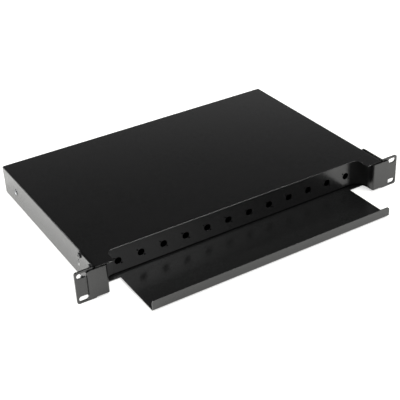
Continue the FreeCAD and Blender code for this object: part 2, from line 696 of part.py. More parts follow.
WALL_FRONT = PANEL_BACK + dim.panel_gap
RIVET_XS = [dim.rivet_pitch * step for step in (-2, -1, 0, 1, 2)]
RIVET_Y = PANEL_BACK + dim.bracket_foot / 2
CASSETTE_Y = DRAWER_REAR - dim.sheet - dim.cassette_rear_gap - dim.cassette_depth / 2
CASSETTE_FLOOR = FLOOR + dim.cassette_lift
CASSETTE_TOP = CASSETTE_FLOOR + dim.cassette_height
STUD_PLACES = [(-dim.hub_offset, CASSETTE_Y), (dim.hub_offset, CASSETTE_Y)]
ANCHOR_Y = DRAWER_REAR - dim.sheet - dim.anchor_rear_gap - dim.anchor_foot
ANCHOR_XS = [-dim.anchor_offset, dim.anchor_offset]
ANCHOR_SCREWS = [(x, ANCHOR_Y + dim.anchor_foot / 2) for x in ANCHOR_XS]
RECESS_INSIDE = DRAWER_SIDE - dim.panel_sheet
FACE_END = RECESS_INSIDE - dim.recess_bend
PANEL_HEIGHT = PANEL_TOP - FLOOR


def adapter_panel():
    """Flat adapter face between the rounded recess ends, with a row of ports and screw holes."""
    body = new_body("adapter_panel")
    face = sketch_on(body, "XY_Plane", FLOOR)
    box_outline(face, -FACE_END, PANEL_FACE, FACE_END, PANEL_BACK)
    pad(body, face, PANEL_HEIGHT)

    first_port = dim.port_margin - FACE_END
    port = sketch_on(body, "XZ_Plane", -(PANEL_FACE + dim.panel_sheet / 2))
    circle(port, first_port, -dim.port_drop, dim.port_bore)
    offset = dim.port_screw_offset
    circle(port, first_port - offset, offset - dim.port_drop, dim.port_screw_bore)
    circle(port, first_port + offset, -offset - dim.port_drop, dim.port_screw_bore)
    first = pocket(body, port, dim.panel_sheet * 2)
    row = body.newObject("PartDesign::LinearPattern", "port_row")
    row.Originals = [first]
    row.Direction = (port, ["H_Axis"])
    row.setExpression("Length", text(-first_port * 2))
    row.setExpression("Occurrences", dim.port_count.text)
    body.Tip = row
    doc.recompute()
    return body


def recess_end_left():
    """Folded end of the recess, welded flush to the adapter face: round corner, side and flange."""
    body = new_body("recess_end_left")
    flange_back = FLANGE_FRONT + dim.panel_sheet
    tip = -SIDE - dim.panel_overlap
    profile = sketch_on(body, "XY_Plane", FLOOR)
    outline(profile, [(-FACE_END, PANEL_FACE), (-RECESS_INSIDE, PANEL_FACE),
                      (-RECESS_INSIDE, FLANGE_FRONT), (tip, FLANGE_FRONT), (tip, flange_back),
                      (-DRAWER_SIDE, flange_back), (-DRAWER_SIDE, PANEL_BACK), (-FACE_END, PANEL_BACK)])
    pad(body, profile, PANEL_HEIGHT)
    # The inner fillet stops just short of the end face, where an edge must be left.
    round_off(body, "z", [(-RECESS_INSIDE, PANEL_FACE)], dim.recess_bend - dim.fit_play)
    round_off(body, "z", [(-DRAWER_SIDE, PANEL_BACK)], dim.recess_bend + dim.panel_sheet - dim.fit_play)
    round_off(body, "z", [(-RECESS_INSIDE, FLANGE_FRONT)], dim.bend + dim.panel_sheet)
    round_off(body, "z", [(-DRAWER_SIDE, flange_back)], dim.bend)
    round_off(body, "y", [(tip, FLOOR), (tip, PANEL_TOP)], dim.ear_corner)
    return body


def panel_brackets():
    """Angle brackets welded to the back of the adapter face and riveted to the drawer's floor."""
    bracket = new_body("panel_bracket")
    profile = sketch_on(bracket, "YZ_Plane")
    thick = dim.panel_sheet
    outline(profile, [(0, 0), (dim.bracket_foot, 0), (dim.bracket_foot, thick), (thick, thick),
                      (thick, dim.bracket_height), (0, dim.bracket_height)])
    pad(bracket, profile, dim.bracket_width, both_ways=True)
    round_off(bracket, "x", [(0, 0)], dim.bend + thick)
    round_off(bracket, "x", [(thick, thick)], dim.bend)
    hole = sketch_on(bracket, "XY_Plane", thick / 2)
    circle(hole, 0, dim.bracket_foot / 2, dim.rivet_diameter + dim.fit_play * 2)
    pocket(bracket, hole, thick * 1.5)
    return group_of("panel_brackets", bracket, [(x, PANEL_BACK, FLOOR, UPRIGHT) for x in RIVET_XS])


def panel_rivets():
    rivet = new_body("panel_rivet")
    profile = sketch_on(rivet, "XZ_Plane")
    shank = dim.rivet_diameter / 2
    depth = dim.sheet + dim.panel_sheet
    head = dim.rivet_head / 2
    outline(profile, [(0, -depth), (shank, -depth), (shank, 0), (head, 0),
                      (head * HEAD_TOP, dim.rivet_head_height), (0, dim.rivet_head_height)])
    revolve(rivet, profile)
    seat = FLOOR + dim.panel_sheet
    return group_of("panel_rivets", rivet, [(x, RIVET_Y, seat, UPRIGHT) for x in RIVET_XS])


def drawer_screws():
    """Short pan screws from inside the drawer into the inner slide members."""
    screw = pan_screw("drawer_screw", dim.sheet + dim.slide_wall)
    face = DRAWER_SIDE - dim.sheet
    places = [(x, y, 0, facing) for x, facing in ((-face, FACING_RIGHT), (face, FACING_LEFT))
              for y in SLIDE_SCREW_YS]
    return group_of("drawer_screws", screw, places)


def rounded_plate(body, low_z, height):
    """Round-cornered block with the cassette's outline."""
    half_width = dim.cassette_width / 2
    low_y = CASSETTE_Y - dim.cassette_depth / 2
    high_y = CASSETTE_Y + dim.cassette_depth / 2
    plate = sketch_on(body, "XY_Plane", low_z)
    box_outline(plate, -half_width, low_y, half_width, high_y)
    pad(body, plate, height)
    corners = [(x, y) for x in (-half_width, half_width) for y in (low_y, high_y)]
    round_off(body, "z", corners, dim.cassette_corner)


def cassette_base():
    """Moulded splice cassette: floor, outer wall with fibre gates and two winding hubs."""
    body = new_body("cassette_base")
    rounded_plate(body, CASSETTE_FLOOR, dim.cassette_height)
    wall = dim.cassette_wall
    top_face = next(f"Face{index}" for index, face in enumerate(body.Shape.Faces, start=1)
                    if abs(face.CenterOfMass.z - number(CASSETTE_TOP)) < 0.01)
    shell = body.newObject("PartDesign::Thickness", "cassette_shell")
    shell.Base = (body.Group[-2], [top_face])
    shell.Reversed = True
    shell.Mode = 0
    shell.Join = 0
    shell.setExpression("Value", text(wall))
    doc.recompute()
    hubs = sketch_on(body, "XY_Plane", CASSETTE_FLOOR)
    for x, y in STUD_PLACES:
        circle(hubs, x, y, dim.hub_radius * 2)
        circle(hubs, x, y, (dim.hub_radius - wall) * 2)
    pad(body, hubs, dim.cassette_height)
    bosses = sketch_on(body, "XY_Plane", CASSETTE_FLOOR)
    for x, y in STUD_PLACES:
        circle(bosses, x, y, dim.screw_bore + dim.boss_wall * 2)
    pad(body, bosses, dim.cassette_height)
    bores = sketch_on(body, "XY_Plane", CASSETTE_FLOOR)
    for x, y in STUD_PLACES:
        circle(bores, x, y, dim.screw_bore + dim.stud_play)
    pocket(body, bores, dim.cassette_height * 3)
    gates = sketch_on(body, "XY_Plane", CASSETTE_TOP)
    for side in (-1, 1):
        middle = dim.hub_offset * side
        front = CASSETTE_Y - dim.cassette_depth / 2
        half = dim.cassette_gate / 2
        box_outline(gates, middle - half, front - wall, middle + half, front + wall * 2)
        back = CASSETTE_Y + dim.cassette_depth / 2
        box_outline(gates, middle - half, back - wall * 2, middle + half, back + wall)
        hub_edge = middle + dim.hub_radius * side
        inner = hub_edge - wall * 2 * side
        outer = hub_edge + wall * side
        low, high = (inner, outer) if side > 0 else (outer, inner)
        box_outline(gates, low, CASSETTE_Y - half, high, CASSETTE_Y + half)
    pocket(body, gates, (dim.cassette_height - wall) * 2)
    return body


def cassette_lid():
    """Clear lid on the cassette wall, held by the same two studs."""
    body = new_body("cassette_lid")
    rounded_plate(body, CASSETTE_TOP, dim.lid_sheet)
    bores = sketch_on(body, "XY_Plane", CASSETTE_TOP)
    for x, y in STUD_PLACES:
        circle(bores, x, y, dim.screw_bore + dim.stud_play)
    pocket(body, bores, dim.lid_sheet * 3)
    return body


def splice_holder():
    """Comb of ribs; each slot between them takes one splice sleeve."""
    body = new_body("splice_holder")
    length = dim.holder_pitch * dim.holder_slots + dim.holder_rib
    front = CASSETTE_Y - length / 2
    half_width = dim.holder_width / 2
    seat = CASSETTE_FLOOR + dim.cassette_wall
    plate = sketch_on(body, "XY_Plane", seat)
    box_outline(plate, -half_width, front, half_width, front + length)
    pad(body, plate, dim.holder_rib)
    rib = sketch_on(body, "XZ_Plane", -front)
    rib_top = seat + dim.holder_rib + dim.holder_height
    half_top = half_width - dim.holder_slope
    outline(rib, [(-half_width, seat), (half_width, seat), (half_top, rib_top), (-half_top, rib_top)])
    first = pad(body, rib, dim.holder_rib, reverse=True)
    comb = body.newObject("PartDesign::LinearPattern", "comb")
    comb.Originals = [first]
    comb.Direction = (rib, ["N_Axis"])
    comb.Reversed = True
    comb.setExpression("Length", text(dim.holder_pitch * dim.holder_slots))
    comb.setExpression("Occurrences", text(dim.holder_slots + 1))
    body.Tip = comb
    doc.recompute()
    return body


def cassette_studs():
    """Hexagonal stand-offs with a threaded stud through floor, cassette and lid."""
    stud = new_body("cassette_stud")
    spacer = sketch_on(stud, "XY_Plane")
    hexagon(spacer, dim.stand_off)
    pad(stud, spacer, dim.cassette_lift)
    shank = sketch_on(stud, "XY_Plane", -dim.sheet)
    circle(shank, 0, 0, dim.screw_bore - dim.fit_play * 2)
    reach = dim.cassette_lift + dim.cassette_height + dim.lid_sheet + dim.thumb_nut_height
    pad(stud, shank, dim.sheet + reach + dim.stand_off_end)
    return group_of("cassette_studs", stud, [(x, y, FLOOR, UPRIGHT) for x, y in STUD_PLACES])


def cassette_nuts():
    """Grooved thumb nuts on the lid."""
    nut = new_body("cassette_nut")
    disc = sketch_on(nut, "XY_Plane")
    circle(disc, 0, 0, dim.thumb_nut)
    circle(disc, 0, 0, dim.screw_bore)
    pad(nut, disc, dim.thumb_nut_height)
    groove = sketch_on(nut, "XY_Plane", dim.thumb_nut_height / 2)
    groove_diameter = dim.thumb_nut / 4
    circle(groove, dim.thumb_nut / 2 + groove_diameter / 4, 0, groove_diameter)
    first = pocket(nut, groove, dim.thumb_nut_height * 1.1)
    knurl = nut.newObject("PartDesign::PolarPattern", "knurl")
    knurl.Originals = [first]
    knurl.Axis = (groove, ["N_Axis"])
    knurl.Angle = 360
    knurl.Occurrences = 8
    nut.Tip = knurl
    doc.recompute()
    top = CASSETTE_TOP + dim.lid_sheet
    return group_of("cassette_nuts", nut, [(x, y, top, UPRIGHT) for x, y in STUD_PLACES])


def fibre_clips():
    """Open rings on square feet that guide the slack fibre round the drawer."""
    clip = new_body("fibre_clip")
    foot = sketch_on(clip, "XY_Plane")
    half = dim.clip_ring / 2
    box_outline(foot, -half, -half, half, half)
    pad(clip, foot, dim.clip_wall)
    ring = sketch_on(clip, "XZ_Plane")
    centre = dim.clip_wall + half - dim.clip_wall / 2
    circle(ring, 0, centre, dim.clip_ring)
    circle(ring, 0, centre, dim.clip_ring - dim.clip_wall * 2)
    pad(clip, ring, dim.clip_width, both_ways=True)
    mouth = sketch_on(clip, "XZ_Plane")
    half_mouth = dim.clip_mouth / 2
    box_outline(mouth, -half_mouth, centre, half_mouth, centre + dim.clip_ring)
    pocket(clip, mouth, dim.clip_width * 2)
    front = PANEL_BACK + dim.clip_setback
    places = [(dim.clip_column * side, y, FLOOR, UPRIGHT) for side in (-1, 1)
              for y in (front, front + dim.clip_pitch)]
    return group_of("fibre_clips", clip, places)


# Heights of a cable anchor's two tie slots, as shares of its own height.
TIE_SLOT_LEVELS = (0.45, 0.75)


def cable_anchors():
    """Angle brackets with tie slots, one behind each cable entry."""
    anchor = new_body("cable_anchor")
    profile = sketch_on(anchor, "YZ_Plane")
    foot = dim.anchor_foot
    outline(profile, [(0, 0), (foot, 0), (foot, dim.sheet), (dim.sheet, dim.sheet),
                      (dim.sheet, dim.anchor_height), (0, dim.anchor_height)])
    pad(anchor, profile, dim.anchor_width, both_ways=True)
    round_off(anchor, "x", [(0, 0)], dim.bend + dim.sheet)
    round_off(anchor, "x", [(dim.sheet, dim.sheet)], dim.bend)
    slots = sketch_on(anchor, "XZ_Plane", -dim.sheet / 2)
    tie_length = dim.anchor_width * 0.6
    for level in TIE_SLOT_LEVELS:
        slot(slots, 0, dim.anchor_height * level, tie_length, dim.sheet * 2)
    pocket(anchor, slots, dim.sheet * 2)
    hole = sketch_on(anchor, "XY_Plane", dim.sheet / 2)
    circle(hole, 0, foot / 2, dim.screw_bore)
    pocket(anchor, hole, dim.sheet * 1.5)
    return group_of("cable_anchors", anchor, [(x, ANCHOR_Y, FLOOR, UPRIGHT) for x in ANCHOR_XS])


def anchor_screws():
    screw = pan_screw("anchor_screw", dim.sheet * 2)
    seat = FLOOR + dim.sheet
    return group_of("anchor_screws", screw, [(x, y, seat, UPRIGHT) for x, y in ANCHOR_SCREWS])


GLAND_XS = [-dim.gland_offset, dim.gland_offset]


def at_glands(label, source):
    return group_of(label, source, [(x, REAR, 0, FACING_BACK) for x in GLAND_XS])


def gland_bodies():
    """Threaded tube with a hexagon; z = 0 is the housing's back face and +z points out."""
    gland = new_body("gland_body")
    flange = sketch_on(gland, "XY_Plane", dim.washer_sheet)
    hexagon(flange, dim.gland_hex)
    pad(gland, flange, dim.gland_flange)
    tube = sketch_on(gland, "XY_Plane", -(dim.sheet + dim.gland_inside))
    circle(tube, 0, 0, dim.gland_thread)
    pad(gland, tube, dim.sheet + dim.gland_inside + dim.washer_sheet)
    neck = sketch_on(gland, "XY_Plane", dim.washer_sheet + dim.gland_flange)
    circle(neck, 0, 0, dim.gland_neck_diameter)
    pad(gland, neck, dim.gland_neck)
    bore = sketch_on(gland, "XY_Plane")
    circle(bore, 0, 0, dim.gland_thread - dim.gland_wall * 2)
    pocket(gland, bore, dim.gland_thread * 4)
    return at_glands("gland_bodies", gland)


def ring_body(label, low_z, height, outside, inside):
    body = new_body(label)
    ring = sketch_on(body, "XY_Plane", low_z)
    circle(ring, 0, 0, outside)
    circle(ring, 0, 0, inside)
    pad(body, ring, height)
    return body


def gland_washers():
    washer = ring_body("gland_washer", 0, dim.washer_sheet, dim.gland_hex,
                       dim.gland_thread + dim.fit_play * 2)
    return at_glands("gland_washers", washer)


def gland_seals():
    """Rubber sleeves that grip the cable inside the gland."""
    low = dim.washer_sheet + dim.fit_play
    seal = ring_body("gland_seal", low, dim.gland_flange + dim.gland_neck,
                     dim.gland_thread - dim.gland_wall * 2 - dim.fit_play * 2, dim.cable_bore)
    return at_glands("gland_seals", seal)


def gland_locknuts():
    nut = new_body("gland_locknut")
    flat = sketch_on(nut, "XY_Plane", -(dim.sheet + dim.locknut_height))
    hexagon(flat, dim.gland_hex)
    pad(nut, flat, dim.locknut_height)
    bore = sketch_on(nut, "XY_Plane")
    circle(bore, 0, 0, dim.gland_thread + dim.fit_play * 2)
    pocket(nut, bore, dim.gland_thread)
    return at_glands("gland_locknuts", nut)


# Where the cap nut's skirt, shoulder and crown end, as shares of its length and radius.
CAP_SKIRT_LENGTH = 0.5
CAP_SHOULDER_LENGTH = 0.84
CAP_SHOULDER_RADIUS = 0.86
CAP_CROWN_RADIUS = 0.66


def gland_cap_nuts():
    """Domed cap nuts: a fluted skirt over the neck and a lip over the seal."""
    cap = new_body("gland_cap_nut")
    low = dim.washer_sheet + dim.gland_flange + dim.cap_gap
    top = low + dim.gland_cap
    neck = dim.gland_neck_diameter / 2 + dim.fit_play
    outside = dim.gland_hex / 2
    seal_top = dim.washer_sheet + dim.gland_flange + dim.gland_neck + dim.fit_play * 2
    mouth = dim.cable_bore / 2 + dim.cap_mouth_play
    profile = sketch_on(cap, "XZ_Plane")
    outline(profile, [(neck, low), (outside, low), (outside, low + dim.gland_cap * CAP_SKIRT_LENGTH),
                      (outside * CAP_SHOULDER_RADIUS, low + dim.gland_cap * CAP_SHOULDER_LENGTH),
                      (outside * CAP_CROWN_RADIUS, top), (mouth, top), (mouth, seal_top),
                      (neck, seal_top)])
    revolve(cap, profile)
    flute = sketch_on(cap, "XY_Plane", low + dim.gland_cap / 4)
    flute_diameter = dim.gland_wall * 2
    circle(flute, outside + flute_diameter / 4, 0, flute_diameter)
    first = pocket(cap, flute, dim.gland_cap)
    flutes = cap.newObject("PartDesign::PolarPattern", "flutes")
    flutes.Originals = [first]
    flutes.Axis = (flute, ["N_Axis"])
    flutes.Angle = 360
    flutes.Occurrences = 8
    cap.Tip = flutes
    doc.recompute()
    return at_glands("gland_cap_nuts", cap)


def blanking_plugs():
    """Snap-in plugs in the spare cable entries."""
    plug = new_body("blanking_plug")
    head = dim.gland_hex / 2
    shank = dim.gland_bore / 2 - dim.fit_play
    behind_wall = -dim.sheet - dim.fit_play
    head_top = dim.plug_head_height
    profile = sketch_on(plug, "XZ_Plane")
    outline(profile, [(0, -dim.plug_depth), (shank - dim.plug_barb * 2, -dim.plug_depth),
                      (shank + dim.plug_barb, behind_wall - dim.plug_barb), (shank, behind_wall),
                      (shank, 0), (head, 0), (head, head_top / 3), (head - head_top, head_top),
                      (0, head_top)])
    revolve(plug, profile)
    plug_xs = (-dim.plug_offset, dim.plug_offset)
    return group_of("blanking_plugs", plug, [(x, REAR, 0, FACING_BACK) for x in plug_xs])


# Across flats and height of a hexagon nut, as shares of its thread.
NUT_FLATS = 1.6
NUT_HEIGHT = 0.8
STUD_PLACE = [(dim.stud_offset, REAR, 0, FACING_BACK)]
STUD_HOLE = dim.stud_diameter + dim.fit_play * 2


def earth_stud():
    """Flanged stud pressed through the back wall."""
    stud = new_body("earth_stud_pin")
    radius = dim.stud_diameter / 2
    chamfer = radius / 4
    flange = dim.stud_head / 2
    under = -dim.sheet - dim.stud_head_height
    profile = sketch_on(stud, "XZ_Plane")
    outline(profile, [(0, under), (flange, under), (flange, -dim.sheet), (radius, -dim.sheet),
                      (radius, dim.stud_length - chamfer), (radius - chamfer, dim.stud_length),
                      (0, dim.stud_length)])
    revolve(stud, profile)
    return group_of("earth_stud", stud, STUD_PLACE)


def earth_washer():
    washer = ring_body("earth_washer_ring", 0, dim.sheet, dim.stud_diameter * 2, STUD_HOLE)
    return group_of("earth_washer", washer, STUD_PLACE)


def earth_nut():
    nut = new_body("earth_nut_hex")
    flat = sketch_on(nut, "XY_Plane", dim.sheet)
    hexagon(flat, dim.stud_diameter * NUT_FLATS)
    pad(nut, flat, dim.stud_diameter * NUT_HEIGHT)
    bore = sketch_on(nut, "XY_Plane")
    circle(bore, 0, 0, STUD_HOLE)
    pocket(nut, bore, dim.stud_diameter * 4)
    return group_of("earth_nut", nut, STUD_PLACE)


def build_all():
    """Every sub-part of the box, in the order it would go together."""
    parts = [housing_shell(), ear_left()]
    parts.append(mirrored_copy("ear_right", parts[-1]))
    parts += [ear_screws(), slide_screws()]
    handed = [
        slide_outer_left(), slide_middle_left(), slide_inner_left(),
        ball_cage("ball_cage_outer_left", dim.slide_wall + dim.cage_play, OUTER_BALL_U, OUTER_BALL_W),
        ball_cage("ball_cage_inner_left", INNER_CAGE_WEB, INNER_BALL_U, INNER_BALL_W),
        balls("balls_outer_left", OUTER_BALL_U, OUTER_BALL_W),
        balls("balls_inner_left", INNER_BALL_U, INNER_BALL_W),
    ]
    parts += handed
    parts += [mirrored_copy(part.Label.replace("_left", "_right"), part) for part in handed]
    parts += [drawer_tray(), adapter_panel(), recess_end_left()]
    parts.append(mirrored_copy("recess_end_right", parts[-1]))
    parts += [panel_brackets(), panel_rivets(), drawer_screws()]
    parts += [cassette_base(), cassette_lid(), splice_holder(), cassette_studs(), cassette_nuts()]
    parts += [fibre_clips(), cable_anchors(), anchor_screws()]
    parts += [gland_bodies(), gland_washers(), gland_seals(), gland_locknuts(), gland_cap_nuts()]
    parts += [blanking_plugs(), earth_stud(), earth_washer(), earth_nut()]
    return parts


def check_and_export(parts):
    doc.recompute()
    for item in doc.Objects:
        if {"Invalid", "Error"} & set(item.State):
            raise RuntimeError(f"{item.Label} did not compute: {item.State}")
    for part in parts:
        if part.Shape.isNull() or not part.Shape.isValid() or not part.Shape.Solids:
            raise RuntimeError(f"{part.Label} has no valid solid")
    os.makedirs("parts", exist_ok=True)
    for part in parts:
        part.Shape.exportStep(f"parts/{part.Label}.step")
        print(part.Label, len(part.Shape.Solids), round(part.Shape.Volume, 1))


check_and_export(build_all())
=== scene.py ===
"""Finishes, threads and studio for a rack-mount fibre distribution box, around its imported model."""
import math
from collections import namedtuple

import bmesh
import bpy
import numpy as np
from bpy.props import FloatProperty, FloatVectorProperty, PointerProperty
from mathutils import Matrix, Vector


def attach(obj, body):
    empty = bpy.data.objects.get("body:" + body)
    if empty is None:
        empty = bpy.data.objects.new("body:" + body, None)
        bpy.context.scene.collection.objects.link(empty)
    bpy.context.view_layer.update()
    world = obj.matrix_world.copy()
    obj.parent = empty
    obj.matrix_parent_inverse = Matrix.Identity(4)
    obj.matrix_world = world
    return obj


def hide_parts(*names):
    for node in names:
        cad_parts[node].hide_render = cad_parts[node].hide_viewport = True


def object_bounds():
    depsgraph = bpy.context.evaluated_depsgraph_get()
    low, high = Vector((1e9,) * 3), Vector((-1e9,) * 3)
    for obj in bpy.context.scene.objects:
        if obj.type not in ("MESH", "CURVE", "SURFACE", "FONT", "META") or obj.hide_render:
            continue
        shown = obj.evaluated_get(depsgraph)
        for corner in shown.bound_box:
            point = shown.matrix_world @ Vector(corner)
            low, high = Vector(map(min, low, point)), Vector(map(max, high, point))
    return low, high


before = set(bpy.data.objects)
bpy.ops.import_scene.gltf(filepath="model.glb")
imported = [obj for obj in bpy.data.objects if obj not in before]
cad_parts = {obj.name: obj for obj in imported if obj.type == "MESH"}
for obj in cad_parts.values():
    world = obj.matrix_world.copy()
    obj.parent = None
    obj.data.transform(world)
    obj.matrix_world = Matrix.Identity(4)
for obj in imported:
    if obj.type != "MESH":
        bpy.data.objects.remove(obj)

bl_info = {
    "name": "Fibre distribution box",
    "version": (1, 0, 0),
    "blender": (4, 5, 0),
    "location": "View3D > Sidebar > Fibre box",
    "description": "Finishes, threads and studio for a rack-mount fibre distribution box",
    "category": "Object",
}

MM = 0.001
WELD = 0.001
SHARP_ANGLE = math.radians(38.0)
CAD_BOX = [list(corner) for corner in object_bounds()]
FLOOR_Z = CAD_BOX[0][2]

# Faces and holes that the screws sit on, in millimetres. A side is a distance from x = 0.
BODY_SIDE = 215.0
EAR_SIDE = 217.0
EAR_HOLES_YZ = ((7.0, -17.0), (7.0, 17.0), (35.5, -17.0), (35.5, 17.0))
DRAWER_SIDE = 199.9
SLIDE_HOLES_Y = (45.0, 247.0)
ANCHOR_HOLE = (165.0, 245.8, -18.2)
STUD_FOOT = (80.0, 288.8, 0.0)

# The cut edge of the hood's top: its front on both sides and the mouth between them.
HOOD_TOP = 21.0
SHEET = 1.2
HOOD_FRONT = -2.0
FRONT_END = 214.0
FRONT_CORNER = 0.6
MOUTH_SIDE = 190.0
MOUTH_BACK = 20.0
MOUTH_CORNER = 8.0

# The recess: its sides, the adapter panel's face, the bends between them and the painted shadow's
# height.
RECESS_SIDE = 199.6
RECESS_FACE = 23.5
RECESS_BEND = 18.0
FOOT_SHADOW_Z = -18.2

# Turned profiles as (radius, height) in millimetres. A screw's runs from its tip to the rim of
# the flat on its head, PAN_HEAD ends two of them, and the cup's is closed.
EAR_SCREW = [(0.0, -4.8), (2.0, -4.8), (2.0, 0.0), (3.7, 0.0), (3.68, 0.9), (3.55, 1.45),
             (3.3, 1.8), (2.9, 1.9), (2.3, 1.92)]
SLIDE_SCREW = [(0.0, -2.6), (2.0, -2.6), (2.0, -1.08), (2.55, -0.56), (2.5, -0.5)]
PAN_HEAD = [(2.0, 0.0), (3.7, 0.0), (3.68, 0.8), (3.5, 1.4), (3.15, 1.85), (2.7, 2.08),
            (2.3, 2.15)]
DRAWER_SCREW = [(0.0, -2.6), (2.0, -2.6), *PAN_HEAD]
ANCHOR_SCREW = [(0.0, -2.4), (2.0, -2.4), *PAN_HEAD]
SCREW_CUP = [(2.5, -0.62), (3.05, -0.03), (4.8, -0.03), (4.75, 0.35), (4.6, 0.58), (4.35, 0.66),
             (4.15, 0.62), (3.1, 0.0), (2.52, -0.48), (2.5, -0.62)]

# Cross recesses as reach, width of the arms and depth, in millimetres.
PAN_RECESS = (2.15, 0.95, 1.5)
SUNK_RECESS = (2.2, 1.0, 1.0)

# Painted light and shade on the recess's bends: past start, in millimetres along axis, the coat
# turns within BEND_FADE to a grey, loses its clear top layer, roughens and takes a metallic
# share, which with its near-black colour dims the reflection. The left bend's lighter grey is a
# painted light patch; the metallic share on the adapter panel's right end and the right bend is
# painted shade.
Bend = namedtuple("Bend", "axis start bare smoke")
BEND_FADE = 6.0
BENDS = (("panel_painted_shade_coat", "adapter_panel", Bend("X", 176.5, 0.004, 0.5)),
         ("left_bend_painted_light_coat", "recess_end_left", Bend("Y", 2.0, 0.035, 0.0)),
         ("right_bend_painted_shade_coat", "recess_end_right", Bend("Y", 2.0, 0.004, 0.5)))

# Grain of the zinc as noise cells per metre along x, y and z.
EVEN_GRAIN = (500.0, 500.0, 500.0)
BRACKET_GRAIN = (90.0, 1400.0, 1400.0)
ROLLED_GRAIN = (1500.0, 25.0, 1500.0)
PRESSED_GRAIN = (900.0, 60.0, 900.0)

# The wall that mirrors see, as (height of the direction, grey): 0 is level and 1 straight up.
MIRRORED_WALL = ((0.0, 0.15), (0.34, 0.18), (0.385, 0.42), (0.408, 0.42), (0.43, 0.07),
                 (0.45, 0.003), (0.53, 0.003), (0.57, 0.04), (1.0, 0.04))

# Soft boxes as name, place, width and height in metres, and watts.
LAMPS = (("left_softbox", (-2.0, 1.0, 0.8), 1.6, 1.0, 50.0),
         ("front_softbox", (0.75, -2.5, 1.65), 0.9, 0.9, 8.0),
         ("top_softbox", (0.9, -1.0, 2.1), 1.4, 0.6, 31.0))
LAMPS_FACE = (0.0, 0.12, 0.0)


class Wire:
    """An output socket of a material. Arithmetic on it adds Math nodes."""

    def __init__(self, graph, socket):
        self.graph = graph
        self.socket = socket

    def __add__(self, other):
        return self.graph.math("ADD", self, other)

    __radd__ = __add__

    def __mul__(self, other):
        return self.graph.math("MULTIPLY", self, other)

    __rmul__ = __mul__

    def __sub__(self, other):
        return self.graph.math("SUBTRACT", self, other)

    def __rsub__(self, other):
        return self.graph.math("SUBTRACT", other, self)

    def __truediv__(self, other):
        return self.graph.math("DIVIDE", self, other)

    def __rtruediv__(self, other):
        return self.graph.math("DIVIDE", other, self)


class Graph:
    """A node tree that is written as expressions on Wires."""

    def __init__(self, tree):
        self.tree = tree
        tree.nodes.clear()

    def node(self, kind, settings=None, output=0, **inputs):
        """Adds a node: its settings first, then each input as a value or a Wire.

        An input goes by its name with _ for each space, or by its number as _0, _1 and so on.
        """
        node = self.tree.nodes.new(kind)
        for name, value in (settings or {}).items():
            if name == "stops":
                self.set_stops(node.color_ramp, value)
            else:
                setattr(node, name, value)
        for name, value in inputs.items():
            key = int(name[1:]) if name[0] == "_" else name.replace("_", " ")
            self.feed(node.inputs[key], value)
        return Wire(self, node.outputs[output]) if node.outputs else node

    def feed(self, socket, value):
        if isinstance(value, Wire):
            self.tree.links.new(value.socket, socket)
        else:
            socket.default_value = value

    def set_stops(self, ramp, stops):
        """A colour ramp's stops as (position, grey level)."""
        while len(ramp.elements) < len(stops):
            ramp.elements.new(1.0)
        for element, (position, level) in zip(ramp.elements, stops):
            element.position = position
            element.color = grey(level)

    def math(self, operation, first, second):
        return self.node("ShaderNodeMath", {"operation": operation}, _0=first, _1=second)

    def noise(self, where, scale, detail, roughness=0.5):
        return self.node("ShaderNodeTexNoise", Vector=where, Scale=scale, Detail=detail,
                         Roughness=roughness)

    def ramp(self, value, *stops):
        return self.node("ShaderNodeValToRGB", {"stops": stops}, Fac=value)

    def mix_colour(self, factor, first, second):
        return self.node("ShaderNodeMix", {"data_type": "RGBA"}, output=2, _0=factor, _6=first,
                         _7=second)

    def bump(self, height, distance, strength, normal=None):
        """A bump whose full height is distance, in millimetres."""
        links = {"Normal": normal} if normal else {}
        return self.node("ShaderNodeBump", Height=height, Distance=distance * MM,
                         Strength=strength, **links)

    def object_place(self):
        return self.node("ShaderNodeTexCoord", output="Object")

    def stretched(self, where, scale):
        return self.node("ShaderNodeMapping", Vector=where, Scale=scale)


def grey(level):
    return (level, level, level, 1.0)


def shaded(colour, factor):
    """A colour times a factor, at most 1 in each channel, with full alpha."""
    return tuple(min(1.0, channel * factor) for channel in colour) + (1.0,)


def finish(name, build, **constants):
    """A Principled material: build(graph) gives its varying inputs, constants set the rest."""
    material = bpy.data.materials.new(name)
    material.use_nodes = True
    graph = Graph(material.node_tree)
    varying = build(graph)
    names = {key.replace(" ", "_"): value for key, value in {**varying, **constants}.items()}
    shader = graph.node("ShaderNodeBsdfPrincipled", **names)
    graph.node("ShaderNodeOutputMaterial", Surface=shader)
    return material


